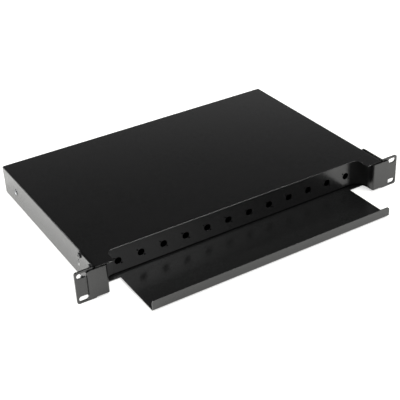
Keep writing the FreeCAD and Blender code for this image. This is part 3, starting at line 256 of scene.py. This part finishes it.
def powder_coat(name, colour, shine, bend=None):
    """Black powder coat: a fine orange-peel skin with faint specks and cloudy gloss.

    It is two layers, a dull coloured one under a clear one. With a bend, the clear layer is a
    little thinner all over and fades out along the bend, where the rest roughens and takes painted
    light or painted shade: a grey colour and a metallic share that dims the reflection.
    """
    def build(graph):
        place = graph.object_place()
        specks = graph.noise(place, 2600.0, 1.0)
        peel = graph.noise(place, 620.0, 2.0)
        cloud = graph.noise(place, 14.0, 3.0)
        tint = graph.mix_colour(graph.ramp(specks, (0.35, 0.0), (0.7, 1.0)),
                                shaded(colour, 0.82), shaded(colour, 1.25))
        rough = shine + (cloud - 0.5) * 0.05 + (specks - 0.5) * 0.06
        relief = peel * 0.75 + specks * 0.25
        edge = graph.node("ShaderNodeBevel", {"samples": 6}, Radius=0.5 * MM)
        clear, metal = 1.0, 0.0
        if bend is not None:
            # Painted light or shade along the bend: the ramp fades in a grey base colour (lighter on
            # the left bend) and a metallic share that darkens the reflection (panel's right end,
            # right bend).
            along = graph.node("ShaderNodeSeparateXYZ", output=bend.axis, Vector=place)
            thin = graph.ramp((along - bend.start * MM) / (BEND_FADE * MM), (0.0, 0.0), (1.0, 1.0))
            rough = rough + thin * 0.5
            clear = 0.92 - thin * 0.92
            metal = thin * bend.smoke
            tint = graph.mix_colour(thin, tint, grey(bend.bare))
        return {"Base Color": tint, "Roughness": rough, "Coat Weight": clear, "Metallic": metal,
                "Normal": graph.bump(relief, 0.035, 0.6, edge)}
    return finish(name, build, IOR=1.5, Coat_Roughness=0.19, Coat_IOR=1.5)


def painted_shadow_material(name):
    """Painted shadow under the adapter panel's foot: near black, no gloss, with a trace of dust."""
    def build(graph):
        dust = graph.noise(graph.object_place(), 350.0, 2.0)
        return {"Base Color": graph.mix_colour(dust, grey(0.003), grey(0.006)),
                "Roughness": 0.85 + dust * 0.1}
    return finish(name, build, IOR=1.02)


def bright_zinc(name, colour, shine, grain):
    """Zinc-plated steel: a rolling grain along the piece and soft cloudy patches."""
    def build(graph):
        place = graph.object_place()
        lines = graph.noise(graph.stretched(place, grain), 1.0, 3.0, 0.6)
        cloud = graph.noise(place, 90.0, 2.0)
        blue = (colour[0] * 0.97, colour[1], min(1.0, colour[2] * 1.05), 1.0)
        tint = graph.mix_colour(graph.ramp(cloud, (0.3, 0.0), (0.7, 1.0)), shaded(colour, 0.8),
                                blue)
        rough = shine + (lines - 0.5) * 0.22 + (cloud - 0.5) * 0.1
        return {"Base Color": tint, "Roughness": rough,
                "Normal": graph.bump(lines, 0.008, 0.5)}
    return finish(name, build, Metallic=1.0)


def black_zinc(name):
    """Black-passivated screws: dark metal with a little brightness in the grain."""
    def build(graph):
        place = graph.object_place()
        cloud = graph.noise(place, 700.0, 2.0)
        tint = graph.mix_colour(cloud, (0.05, 0.05, 0.052, 1.0), (0.09, 0.09, 0.094, 1.0))
        return {"Base Color": tint, "Roughness": 0.3 + cloud * 0.16,
                "Normal": graph.bump(cloud, 0.02, 0.4)}
    return finish(name, build, Metallic=0.75, Coat_Weight=1.0, Coat_Roughness=0.2, Coat_IOR=1.5)


def moulded(name, colour, shine, grain, depth):
    """Moulded plastic or rubber: spark-eroded grain, depth in millimetres, and a slight mottle."""
    def build(graph):
        place = graph.object_place()
        skin = graph.noise(place, grain, 2.0)
        mottle = graph.noise(place, 60.0, 2.0)
        tint = graph.mix_colour(graph.ramp(mottle, (0.3, 0.0), (0.7, 1.0)), shaded(colour, 0.86),
                                shaded(colour, 1.1))
        return {"Base Color": tint, "Roughness": shine + (skin - 0.5) * 0.16,
                "Normal": graph.bump(skin, depth, 0.6)}
    return finish(name, build)


def cast_brass(name):
    """Turned brass with fine tool rings and a little tarnish."""
    def build(graph):
        place = graph.object_place()
        rings = graph.noise(graph.stretched(place, (300.0, 5200.0, 300.0)), 1.0, 2.0)
        tarnish = graph.noise(place, 420.0, 3.0)
        tint = graph.mix_colour(graph.ramp(tarnish, (0.35, 0.0), (0.75, 1.0)),
                                (0.78, 0.56, 0.25, 1.0), (0.52, 0.36, 0.16, 1.0))
        return {"Base Color": tint, "Roughness": 0.24 + rings * 0.2,
                "Normal": graph.bump(rings, 0.01, 0.5)}
    return finish(name, build, Metallic=1.0)


def polished_steel(name):
    """Ball bearing steel with the faintest wear haze."""
    def build(graph):
        haze = graph.noise(graph.object_place(), 900.0, 2.0)
        tint = graph.mix_colour(haze, (0.6, 0.6, 0.62, 1.0), (0.74, 0.74, 0.76, 1.0))
        return {"Base Color": tint, "Roughness": 0.08 + haze * 0.08}
    return finish(name, build, Metallic=1.0)


def clear_sheet(name):
    """Clear moulded lid: mostly see-through, with a faint blue-grey body and soft haze."""
    def build(graph):
        haze = graph.noise(graph.object_place(), 35.0, 2.0)
        tint = graph.mix_colour(haze, (0.62, 0.68, 0.72, 1.0), (0.72, 0.78, 0.8, 1.0))
        return {"Base Color": tint, "Roughness": 0.07 + haze * 0.06, "Alpha": 0.24 + haze * 0.08}
    return finish(name, build, IOR=1.49)


def grid_piece(name, points, material, body):
    """A piece made of rings: points[k, i, j] is grid k's point at parameters i and j.

    Neighbours in i and in j join in quads, and the last j joins the first. A row whose points
    all meet closes to a pole.
    """
    copies, rows, columns = points.shape[:3]
    index = np.arange(copies * rows * columns).reshape(copies, rows, columns)
    index = np.concatenate([index, index[:, :, :1]], axis=2)
    quads = np.stack([index[:, :-1, :-1], index[:, :-1, 1:], index[:, 1:, 1:], index[:, 1:, :-1]],
                     axis=-1).reshape(-1, 4)
    mesh = bpy.data.meshes.new(name)
    mesh.from_pydata((points.reshape(-1, 3) * MM).tolist(), [], quads.tolist())
    work = bmesh.new()
    work.from_mesh(mesh)
    bmesh.ops.remove_doubles(work, verts=work.verts, dist=WELD * MM)
    bmesh.ops.recalc_face_normals(work, faces=work.faces)
    work.to_mesh(mesh)
    work.free()
    mesh.polygons.foreach_set("use_smooth", np.ones(len(mesh.polygons), dtype=bool))
    mesh.set_sharp_from_angle(angle=SHARP_ANGLE)
    mesh.materials.append(material)
    piece = bpy.data.objects.new(name, mesh)
    bpy.context.scene.collection.objects.link(piece)
    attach(piece, body)
    return piece


def rounded_path(corners, radii, steps=10):
    """Points along straight runs whose corners are arcs.

    A corner with unit directions a in and b out and turning angle t gets an arc of radius r: it
    starts r * tan(t / 2) before the corner, and its point at angle s from the start is
    start + a * r * sin(s) + n * r * (1 - cos(s)), where n is the unit normal of a towards b.
    """
    corners = np.asarray(corners, float)
    runs = np.diff(corners, axis=0)
    runs /= np.linalg.norm(runs, axis=1)[:, None]
    inward, outward = runs[:-1], runs[1:]
    turn = np.arccos(np.clip((inward * outward).sum(axis=1), -1.0, 1.0))
    normal = outward - inward * np.cos(turn)[:, None]
    normal /= np.linalg.norm(normal, axis=1)[:, None]
    radii = np.asarray(radii, float)
    start = corners[1:-1] - inward * (radii * np.tan(turn / 2))[:, None]
    angle = turn[:, None] * np.linspace(0.0, 1.0, steps)
    ahead = inward[:, None] * (radii[:, None] * np.sin(angle))[..., None]
    aside = normal[:, None] * (radii[:, None] * (1.0 - np.cos(angle)))[..., None]
    arcs = (start[:, None] + ahead + aside).reshape(-1, 2)
    return np.concatenate([corners[:1], arcs, corners[-1:]])


def bead(path, level, across, high, thin=0.0, columns=16):
    """A bead of elliptical section along a level path, closed to a point at both ends.

    Round the section the point at angle a is path + n * across * cos(a) + z * high * sin(a),
    where n is the path's level normal, z is up and level is the height of the bead's middle.
    Both half-widths are multiplied by 1 - thin * |t.y|, where t is the path's unit direction.
    across is one value or a column with a value for each point of the path.
    """
    step = np.gradient(path, axis=0)
    step /= np.linalg.norm(step, axis=1)[:, None]
    normal = np.stack([step[:, 1], -step[:, 0]], axis=1)
    angle = np.linspace(0.0, 2.0 * math.pi, columns, endpoint=False)
    swell = 1.0 - thin * np.abs(step[:, 1])
    swell[[0, -1]] = 0.0
    flat = path[:, None] + normal[:, None] * (across * np.cos(angle) * swell[:, None])[..., None]
    rise = level + high * np.sin(angle) * swell[:, None]
    return np.concatenate([flat, rise[..., None]], axis=2)[None]


def cross_recess(x, y, reach, width, depth):
    """How deep a cross recess is at x, y.

    The offset from the nearer arm's middle line is the smaller of |x| and |y|. The depth falls to
    0 over a sloping wall centred on the arm's half width, and along the arm it is times the
    square root of 1 - (r / reach) squared.
    """
    offset = np.minimum(np.abs(x), np.abs(y))
    slope = width * 0.22
    wall = np.clip((width / 2 - offset) / slope + 0.5, 0.0, 1.0)
    along = np.clip(1.0 - (x * x + y * y) / (reach * reach), 0.0, 1.0)
    return depth * wall * np.sqrt(along)


def turned_screw(profile, recess, columns=48, face_rows=18):
    """A turned screw along its own z axis, with a cross recess in its head.

    Each profile row (r, z) becomes the ring r * cos(a), r * sin(a), z. Flat rows fill the
    head's top from the last ring in to the axis, and the recess is taken off them.
    """
    angle = np.linspace(0.0, 2.0 * math.pi, columns, endpoint=False)
    rim, top = profile[-1]
    inner = [(radius, top) for radius in np.linspace(rim, 0.0, face_rows)]
    radius, height = np.array(list(profile) + inner[1:]).T
    x = radius[:, None] * np.cos(angle)
    y = radius[:, None] * np.sin(angle)
    z = height[:, None] + 0.0 * x
    z[len(profile) - 1:] -= cross_recess(x, y, *recess)[len(profile) - 1:]
    return np.stack([x, y, z], axis=2)


def turned_ring(profile, columns=48):
    """A ring along z: each row (r, z) of the closed profile becomes r * cos(a), r * sin(a), z."""
    angle = np.linspace(0.0, 2.0 * math.pi, columns, endpoint=False)
    radius, height = np.array(profile).T[:, :, None]
    return np.stack([radius * np.cos(angle), radius * np.sin(angle), height + 0.0 * angle], axis=2)


def threaded_rod(flange, under, length, radius, pitch, depth, columns=28, turn_rows=8):
    """A stud along z with a flange at its foot and a thread up to its chamfered end.

    On the thread the radius at angle a and height z is radius - depth * v, where v is a
    triangle wave of the turns z / pitch - a / (2 pi), 0 at a crest and 1 at a root. It fades in
    over the first pitch, and the last one and a half depths of length taper by one depth.
    """
    angle = np.linspace(0.0, 2.0 * math.pi, columns, endpoint=False)
    z = np.linspace(0.0, length, int(length / pitch * turn_rows))[:, None] + 0.0 * angle
    turns = z / pitch - angle / (2.0 * math.pi)
    wave = np.abs(2.0 * (turns - np.floor(turns)) - 1.0)
    fade = np.clip(z / pitch, 0.0, 1.0)
    tip = 1.5 * depth
    taper = np.clip((z - (length - tip)) / tip, 0.0, 1.0)
    r = radius - depth * np.maximum(wave * fade, taper)
    chamfer = 0.4
    foot = np.array([(0.0, -under), (flange, -under), (flange, -chamfer), (flange - chamfer, 0.0),
                     (radius, 0.0)])
    radii = np.concatenate([np.repeat(foot[:, :1], columns, axis=1), r, 0.0 * r[:1]])
    heights = np.concatenate([np.repeat(foot[:, 1:], columns, axis=1), z, z[-1:]])
    return np.stack([radii * np.cos(angle), radii * np.sin(angle), heights], axis=2)


def placed(shape, spots):
    """Copies of a grid: its z axis turns to each spot's direction and its origin to the spot.

    With z as the direction, x as up cross z (back cross z for an upright one) and y as z cross x,
    a point p goes to spot + x * p.x + y * p.y + z * p.z, where x and y are first turned by the
    spin, in degrees, about z.
    """
    copies = []
    for place, facing, spin in spots:
        z = np.asarray(facing, float)
        x = np.cross((0.0, 1.0, 0.0) if abs(z[2]) > 0.5 else (0.0, 0.0, 1.0), z)
        y = np.cross(z, x)
        turn = math.radians(spin)
        first = x * math.cos(turn) + y * math.sin(turn)
        second = y * math.cos(turn) - x * math.sin(turn)
        copies.append(shape @ np.stack([first, second, z]) + np.asarray(place, float))
    return np.stack(copies)


def give(material, *nodes):
    """Puts one finish on CAD nodes."""
    for name in nodes:
        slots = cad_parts[name].data.materials
        slots.clear()
        slots.append(material)


def sides(*names):
    return [f"{name}_{side}" for name in names for side in ("left", "right")]


def side_spots(reach, holes, spins):
    """Spots for screws that stick out sideways at (y, z) holes, reach from the middle plane.

    Both sides get the same holes. With a negative reach the screws face inwards. The spins turn
    the recesses, one for each hole of a side.
    """
    return [((reach * side, y, z), (side, 0.0, 0.0), spin)
            for side in (-1, 1) for (y, z), spin in zip(holes, spins)]


def mouth_edge():
    """The bead that rounds off the cut edge of the hood's top, wider in front than in the mouth."""
    right = [(MOUTH_SIDE, MOUTH_BACK), (MOUTH_SIDE, HOOD_FRONT), (FRONT_END, HOOD_FRONT)]
    left = [(-x, y) for x, y in reversed(right)]
    radii = (FRONT_CORNER, MOUTH_CORNER, MOUTH_CORNER, FRONT_CORNER)
    path = rounded_path(left + right, radii)
    in_front, in_mouth, proud = 0.85, 0.5, 0.02
    across = np.where(path[:, 1:] < MOUTH_BACK / 2, in_front, in_mouth)
    return bead(path, HOOD_TOP - SHEET / 2, across, SHEET / 2 + proud, thin=0.85)


def painted_foot_shadow():
    """A thin dark strip under the foot of the adapter panel and of the recess's ends: painted shadow.
    """
    foot = [(-RECESS_SIDE, 0.0), (-RECESS_SIDE, RECESS_FACE), (RECESS_SIDE, RECESS_FACE),
            (RECESS_SIDE, 0.0)]
    path = rounded_path(foot, (RECESS_BEND, RECESS_BEND), steps=24)
    return bead(path, FOOT_SHADOW_Z, across=0.08, high=1.1)


class BoxFinish(bpy.types.PropertyGroup):
    """Colours and gloss of the box."""

    coat: FloatVectorProperty(name="Powder coat", description="Colour of the black coat", size=3,
                              subtype="COLOR", default=(0.0042, 0.0042, 0.0043), min=0.0, max=1.0)
    drawer: FloatVectorProperty(name="Drawer coat", description="Colour of the drawer's coat",
                                size=3, subtype="COLOR", default=(0.009, 0.0092, 0.0091), min=0.0,
                                max=1.0)
    coat_roughness: FloatProperty(name="Coat roughness", description="Dullness of the black coat",
                                  default=0.28, min=0.0, max=1.0)
    zinc: FloatVectorProperty(name="Zinc", description="Colour of the plated steel", size=3,
                              subtype="COLOR", default=(0.6, 0.61, 0.63), min=0.0, max=1.0)
    cassette: FloatVectorProperty(name="Cassette", description="Colour of the splice cassette",
                                  size=3, subtype="COLOR", default=(0.62, 0.62, 0.6), min=0.0,
                                  max=1.0)


class BoxStage(bpy.types.PropertyGroup):
    """Camera and light of the studio."""

    azimuth: FloatProperty(name="Azimuth", description="Direction of view, from +Y towards +X",
                           subtype="ANGLE", default=math.radians(29.95))
    elevation: FloatProperty(name="Elevation", description="Angle of view above the horizon",
                             subtype="ANGLE", default=math.radians(31.227))
    roll: FloatProperty(name="Roll", description="Turn of the camera about its own axis",
                        subtype="ANGLE", default=math.radians(-2.905))
    distance: FloatProperty(name="Distance", description="Camera to the point it looks at",
                            subtype="DISTANCE", default=1.2305, min=0.1)
    target: FloatVectorProperty(name="Target", description="Point that the camera looks at", size=3,
                                subtype="XYZ", default=(-0.01943, 0.0871, -0.002))
    lens: FloatProperty(name="Lens", description="Focal length in millimetres", default=83.687,
                        min=10.0)
    floor_size: FloatProperty(name="Floor", description="Width of the floor", subtype="DISTANCE",
                              default=14.0, min=1.0)
    lamp_strength: FloatProperty(name="Lamps", description="Strength of all lamps together",
                                 default=1.0, min=0.0)


class FIBREBOX_OT_coat(bpy.types.Operator):
    """Coats the folded sheet metal, with painted light and shade on the recess's bends, rounds the
    mouth's edge and draws a painted shadow strip at the panel's foot.
    """

    bl_idname = "fibrebox.coat"
    bl_label = "Coated sheet metal"

    def execute(self, context):
        look = context.scene.fibre_box_finish
        shine = look.coat_roughness
        coat = powder_coat("black_powder_coat", tuple(look.coat), shine)
        give(coat, "housing_shell", "panel_brackets", *sides("ear"))
        for name, node, bend in BENDS:
            give(powder_coat(name, tuple(look.coat), shine, bend), node)
        give(powder_coat("drawer_powder_coat", tuple(look.drawer), shine), "drawer_tray")
        grid_piece("mouth_edge", mouth_edge(), coat, "housing")
        # A near-black strip at the panel's foot: a painted shadow.
        grid_piece("painted_foot_shadow", painted_foot_shadow(), painted_shadow_material("painted_shadow_black"), "drawer")
        return {"FINISHED"}


class FIBREBOX_OT_fixings(bpy.types.Operator):
    """Turns the screw heads and finishes the screws, rivets and cable anchors."""

    bl_idname = "fibrebox.fixings"
    bl_label = "Screws and brackets"

    def execute(self, context):
        zinc = tuple(context.scene.fibre_box_finish.zinc)
        dark = black_zinc("black_passivated_steel")
        screw = turned_screw(EAR_SCREW, PAN_RECESS)
        spots = side_spots(EAR_SIDE, EAR_HOLES_YZ, (12, 40, 71, 25))
        heads = grid_piece("ear_screw_heads", placed(screw, spots), dark, "housing")
        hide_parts("ear_screws")

        plated = bright_zinc("plated_fixing", zinc, 0.26, EVEN_GRAIN)
        give(plated, "panel_rivets", "cassette_studs", "earth_washer")

        slide_holes = [(y, 0.0) for y in SLIDE_HOLES_Y]
        screw = turned_screw(SLIDE_SCREW, SUNK_RECESS)
        spots = side_spots(BODY_SIDE, slide_holes, (33, 8))
        worn = bright_zinc("dull_plated_cup", (0.33, 0.33, 0.322), 0.42, EVEN_GRAIN)
        heads = grid_piece("slide_screw_heads", placed(screw, spots), dark, "housing")
        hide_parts("slide_screws")
        grid_piece("slide_screw_cups", placed(turned_ring(SCREW_CUP), spots), worn, "housing")

        screw = turned_screw(DRAWER_SCREW, PAN_RECESS)
        spots = side_spots(-DRAWER_SIDE, slide_holes, (20, 62))
        heads = grid_piece("drawer_screw_heads", placed(screw, spots), plated, "drawer")
        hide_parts("drawer_screws")

        screw = turned_screw(ANCHOR_SCREW, PAN_RECESS)
        x, y, z = ANCHOR_HOLE
        spots = [((x * side, y, z), (0.0, 0.0, 1.0), spin) for side, spin in ((-1, 15), (1, 52))]
        heads = grid_piece("anchor_screw_heads", placed(screw, spots), plated, "drawer")
        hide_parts("anchor_screws")

        give(bright_zinc("plated_bracket", zinc, 0.32, BRACKET_GRAIN), "cable_anchors")
        return {"FINISHED"}


class FIBREBOX_OT_slides(bpy.types.Operator):
    """Finishes the telescopic slides."""

    bl_idname = "fibrebox.slides"
    bl_label = "Telescopic slides"

    def execute(self, context):
        zinc = tuple(context.scene.fibre_box_finish.zinc)
        rolled = bright_zinc("rolled_zinc_steel", zinc, 0.28, ROLLED_GRAIN)
        give(rolled, *sides("slide_outer", "slide_middle", "slide_inner"))
        pressed = bright_zinc("pressed_cage_steel", zinc, 0.36, PRESSED_GRAIN)
        give(pressed, *sides("ball_cage_outer", "ball_cage_inner"))
        give(polished_steel("bearing_steel"), *sides("balls_outer", "balls_inner"))
        return {"FINISHED"}


class FIBREBOX_OT_cassette(bpy.types.Operator):
    """Finishes the splice cassette and the fibre guides."""

    bl_idname = "fibrebox.cassette"
    bl_label = "Splice cassette"

    def execute(self, context):
        shade = tuple(context.scene.fibre_box_finish.cassette)
        give(moulded("cassette_abs", shade, 0.42, 1500.0, 0.02), "cassette_base")
        give(moulded("holder_foam_plastic", (0.36, 0.38, 0.4), 0.5, 1100.0, 0.03), "splice_holder")
        give(clear_sheet("clear_polycarbonate"), "cassette_lid")
        nylon = moulded("black_nylon", (0.018, 0.018, 0.019), 0.42, 1300.0, 0.03)
        give(nylon, "fibre_clips", "cassette_nuts")
        return {"FINISHED"}


class FIBREBOX_OT_entries(bpy.types.Operator):
    """Finishes the cable entries and the earthing point, and cuts the stud's thread."""

    bl_idname = "fibrebox.entries"
    bl_label = "Cable entries"

    def execute(self, context):
        nylon = moulded("gland_nylon", (0.02, 0.02, 0.021), 0.38, 1300.0, 0.03)
        give(nylon, "gland_bodies", "gland_locknuts", "gland_cap_nuts", "blanking_plugs")
        give(moulded("seal_rubber", (0.012, 0.012, 0.012), 0.72, 700.0, 0.03), "gland_seals",
             "gland_washers")
        brass = cast_brass("turned_brass")
        give(brass, "earth_nut")
        stud = threaded_rod(flange=4.5, under=1.5, length=14.2, radius=2.47, pitch=0.8, depth=0.36)
        spots = [(STUD_FOOT, (0.0, 1.0, 0.0), 0)]
        thread = grid_piece("earth_stud_thread", placed(stud, spots), brass, "housing")
        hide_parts("earth_stud")
        return {"FINISHED"}


def add_lamp(name, place, width, height, power):
    """A rectangular soft box at place, turned to face the box."""
    data = bpy.data.lights.new(name, "AREA")
    data.shape = "RECTANGLE"
    data.size = width
    data.size_y = height
    data.energy = power
    lamp = bpy.data.objects.new(name, data)
    lamp.location = place
    lamp.rotation_euler = (Vector(LAMPS_FACE) - Vector(place)).to_track_quat("-Z", "Y").to_euler()
    bpy.context.scene.collection.objects.link(lamp)


def ray_kind(graph, kind):
    """1 for rays of one kind, such as Is Camera Ray, and 0 for the others."""
    return graph.node("ShaderNodeLightPath", output=kind)


def studio_world():
    """White to the camera, grey to the rest. Mirrors see a wall with one light band high up."""
    world = bpy.data.worlds.new("studio")
    world.use_nodes = True
    graph = Graph(world.node_tree)
    direction = graph.node("ShaderNodeTexCoord", output="Generated")
    height = graph.node("ShaderNodeSeparateXYZ", output="Z", Vector=direction)
    wall = graph.ramp(height, *MIRRORED_WALL)
    colour = graph.mix_colour(ray_kind(graph, "Is Glossy Ray"), grey(0.4), wall)
    for kind in ("Is Transmission Ray", "Is Camera Ray"):
        colour = graph.mix_colour(ray_kind(graph, kind), colour, grey(1.0))
    background = graph.node("ShaderNodeBackground", Color=colour, Strength=1.0)
    graph.node("ShaderNodeOutputWorld", Surface=background)
    bpy.context.scene.world = world


def floor_material():
    """White paper: shaded by the lamps, and lifted to white for the camera, less for mirrors."""
    material = bpy.data.materials.new("white_paper")
    material.use_nodes = True
    graph = Graph(material.node_tree)
    paper = graph.node("ShaderNodeBsdfPrincipled", Base_Color=(0.82, 0.82, 0.795, 1.0),
                       Roughness=0.9)
    surface = paper
    for kind, glow in (("Is Glossy Ray", 0.25), ("Is Transmission Ray", 0.6),
                       ("Is Camera Ray", 0.6)):
        lift = graph.node("ShaderNodeEmission", Color=grey(1.0), Strength=glow)
        lifted = graph.node("ShaderNodeAddShader", _0=paper, _1=lift)
        surface = graph.node("ShaderNodeMixShader", _0=ray_kind(graph, kind), _1=surface, _2=lifted)
    graph.node("ShaderNodeOutputMaterial", Surface=surface)
    return material


class FIBREBOX_OT_stage(bpy.types.Operator):
    """Makes the floor, the lamps, the world and the camera."""

    bl_idname = "fibrebox.stage"
    bl_label = "Studio"

    def execute(self, context):
        stage = context.scene.fibre_box_stage
        half = stage.floor_size / 2
        corners = [(-half, -half, FLOOR_Z), (half, -half, FLOOR_Z), (half, half, FLOOR_Z),
                   (-half, half, FLOOR_Z)]
        sheet = bpy.data.meshes.new("studio_floor")
        sheet.from_pydata(corners, [], [(0, 1, 2, 3)])
        sheet.materials.append(floor_material())
        floor = bpy.data.objects.new("studio_floor", sheet)
        context.scene.collection.objects.link(floor)

        for name, place, width, height, watts in LAMPS:
            add_lamp(name, place, width, height, watts * stage.lamp_strength)
        studio_world()
        self.add_camera(stage)
        context.scene.view_settings.view_transform = "Standard"
        return {"FINISHED"}

    def add_camera(self, stage):
        """A camera at distance from target along the view, rolled about its own axis."""
        ahead = Vector((math.sin(stage.azimuth) * math.cos(stage.elevation),
                        math.cos(stage.azimuth) * math.cos(stage.elevation),
                        -math.sin(stage.elevation)))
        level = Vector((math.cos(stage.azimuth), -math.sin(stage.azimuth), 0.0))
        upward = level.cross(ahead)
        right = level * math.cos(stage.roll) + upward * math.sin(stage.roll)
        up = upward * math.cos(stage.roll) - level * math.sin(stage.roll)
        place = Vector(stage.target) - ahead * stage.distance
        data = bpy.data.cameras.new("photo_camera")
        data.sensor_width = 36.0
        data.lens = stage.lens
        data.clip_end = 50.0
        camera = bpy.data.objects.new("photo_camera", data)
        turn = Matrix((right, up, -ahead)).transposed().to_4x4()
        camera.matrix_world = Matrix.Translation(place) @ turn
        bpy.context.scene.collection.objects.link(camera)
        bpy.context.scene.camera = camera


OPERATORS = [FIBREBOX_OT_stage, FIBREBOX_OT_coat, FIBREBOX_OT_fixings, FIBREBOX_OT_slides,
             FIBREBOX_OT_cassette, FIBREBOX_OT_entries]


class FIBREBOX_PT_panel(bpy.types.Panel):
    """Lists the steps in the 3D view's sidebar."""

    bl_label = "Fibre distribution box"
    bl_idname = "FIBREBOX_PT_panel"
    bl_space_type = "VIEW_3D"
    bl_region_type = "UI"
    bl_category = "Fibre box"

    def draw(self, context):
        for settings in (context.scene.fibre_box_finish, context.scene.fibre_box_stage):
            for name in settings.bl_rna.properties.keys():
                if name not in ("rna_type", "name"):
                    self.layout.prop(settings, name)
        for operator in OPERATORS:
            self.layout.operator(operator.bl_idname)


CLASSES = [BoxFinish, BoxStage, *OPERATORS, FIBREBOX_PT_panel]


def register():
    for cls in CLASSES:
        bpy.utils.register_class(cls)
    bpy.types.Scene.fibre_box_finish = PointerProperty(type=BoxFinish)
    bpy.types.Scene.fibre_box_stage = PointerProperty(type=BoxStage)


def unregister():
    del bpy.types.Scene.fibre_box_stage
    del bpy.types.Scene.fibre_box_finish
    for cls in reversed(CLASSES):
        bpy.utils.unregister_class(cls)


def main():
    register()
    for operator in OPERATORS:
        module, name = operator.bl_idname.split(".")
        getattr(getattr(bpy.ops, module), name)()


if __name__ == "__main__":
    main()
